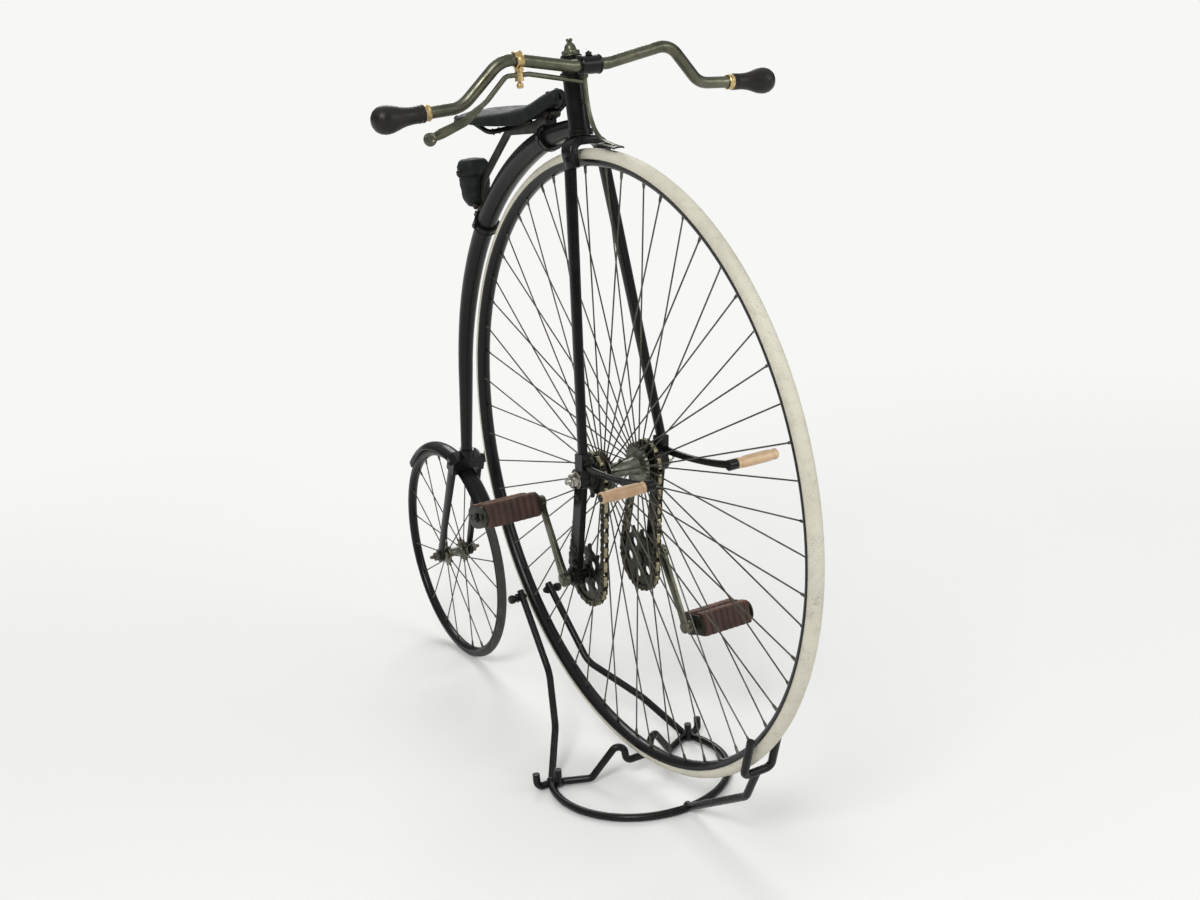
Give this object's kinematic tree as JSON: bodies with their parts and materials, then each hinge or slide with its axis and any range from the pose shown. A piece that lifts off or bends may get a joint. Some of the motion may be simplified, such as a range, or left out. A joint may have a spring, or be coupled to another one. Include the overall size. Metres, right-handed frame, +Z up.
{
  "type": "geared high wheel bicycle on a floor stand",
  "caption": "Old high wheel bicycle with a chain drive on each side of its big front wheel, black frame, leather saddle and a round-bar floor stand",
  "frame": {"origin": "on the floor, in the middle of the length and of the width", "axes": "X forwards along the bicycle, Y to its left, Z up"},
  "size_m": [1.3854, 0.6608, 1.1658],
  "materials": {
    "tyre_rubber": "aged solid rubber, grey-white where the light falls on it",
    "black_enamel": "black stove enamel, worn dull",
    "dull_steel": "bare steel dulled brownish by age",
    "dark_steel": "dark oiled steel",
    "bright_steel": "wiped bright steel",
    "black_horn": "polished black horn",
    "brass": "yellow brass, slightly dull",
    "pale_wood": "turned pale wood, waxed",
    "pedal_rubber": "reddish-brown rubber blocks",
    "black_leather": "black leather with a soft sheen",
    "stand_paint": "black paint on round wrought bar"
  },
  "bodies": {
    "fork": {"fork_crown": "black_enamel", "fork_blades": "black_enamel", "drive_brackets": "black_enamel", "front_axle": "bright_steel", "handlebar_lug": "black_enamel", "head_cap": "dull_steel", "handlebar": "dull_steel", "grips": "black_horn", "grip_ferrules": "brass", "brake_lever": "dull_steel", "brake_clip": "brass", "brake_spoon": "dark_steel", "footrest_arms": "black_enamel", "footrest_pegs": "pale_wood", "left_chain": "dark_steel", "right_chain": "dark_steel", "stand_ring": "stand_paint", "stand_cradle": "stand_paint", "stand_uprights": "stand_paint", "stand_yoke": "stand_paint", "stand_front_rest": "stand_paint"},
    "front_wheel": {"front_tyre": "tyre_rubber", "front_rim": "black_enamel", "front_spokes": "dull_steel", "front_hub": "dull_steel", "hub_sprockets": "dark_steel"},
    "left_crankset": {"left_crank_sprocket": "dark_steel", "left_crank": "dull_steel"},
    "right_crankset": {"right_crank_sprocket": "dark_steel", "right_crank": "dull_steel"},
    "left_pedal": {"left_pedal_frame": "dark_steel", "left_pedal_rubbers": "pedal_rubber"},
    "right_pedal": {"right_pedal_frame": "dark_steel", "right_pedal_rubbers": "pedal_rubber"},
    "backbone_body": {"backbone": "black_enamel", "rear_fork": "black_enamel", "rear_axle": "bright_steel", "rear_mudguard": "black_enamel", "mounting_step": "dark_steel", "saddle_top": "black_leather", "saddle_spring": "dark_steel", "saddle_clips": "black_enamel", "tool_bag": "black_leather"},
    "rear_wheel": {"rear_tyre": "tyre_rubber", "rear_rim": "black_enamel", "rear_spokes": "dull_steel", "rear_hub": "dull_steel"}
  },
  "joints": [
    {"name": "front_wheel_spin", "type": "hinge", "parent": "fork", "child": "front_wheel", "pos_m": [0.20975, 0, 0.528], "axis": [0, 1, 0], "continuous": true},
    {"name": "left_crank_spin", "type": "hinge", "parent": "fork", "child": "left_crankset", "pos_m": [0.16302, 0.08, 0.35949], "axis": [0, 1, 0], "continuous": true},
    {"name": "right_crank_spin", "type": "hinge", "parent": "fork", "child": "right_crankset", "pos_m": [0.16302, -0.08, 0.35949], "axis": [0, 1, 0], "continuous": true},
    {"name": "left_pedal_spin", "type": "hinge", "parent": "left_crankset", "child": "left_pedal", "pos_m": [0.21869, 0.1, 0.24534], "axis": [0, 1, 0], "continuous": true},
    {"name": "right_pedal_spin", "type": "hinge", "parent": "right_crankset", "child": "right_pedal", "pos_m": [0.10734, -0.1, 0.47364], "axis": [0, 1, 0], "continuous": true},
    {"name": "steering", "type": "hinge", "parent": "fork", "child": "backbone_body", "pos_m": [0.17166, 0, 1.07267], "axis": [-0.0698, 0, 0.9976], "range_deg": [-45, 45]},
    {"name": "rear_wheel_spin", "type": "hinge", "parent": "backbone_body", "child": "rear_wheel", "pos_m": [-0.47825, 0, 0.2145], "axis": [0, 1, 0], "continuous": true}
  ],
  "couplings": [
    {"joint": "left_crank_spin", "follows": "front_wheel_spin", "ratio": 0.66667},
    {"joint": "right_crank_spin", "follows": "front_wheel_spin", "ratio": 0.66667}
  ]
}
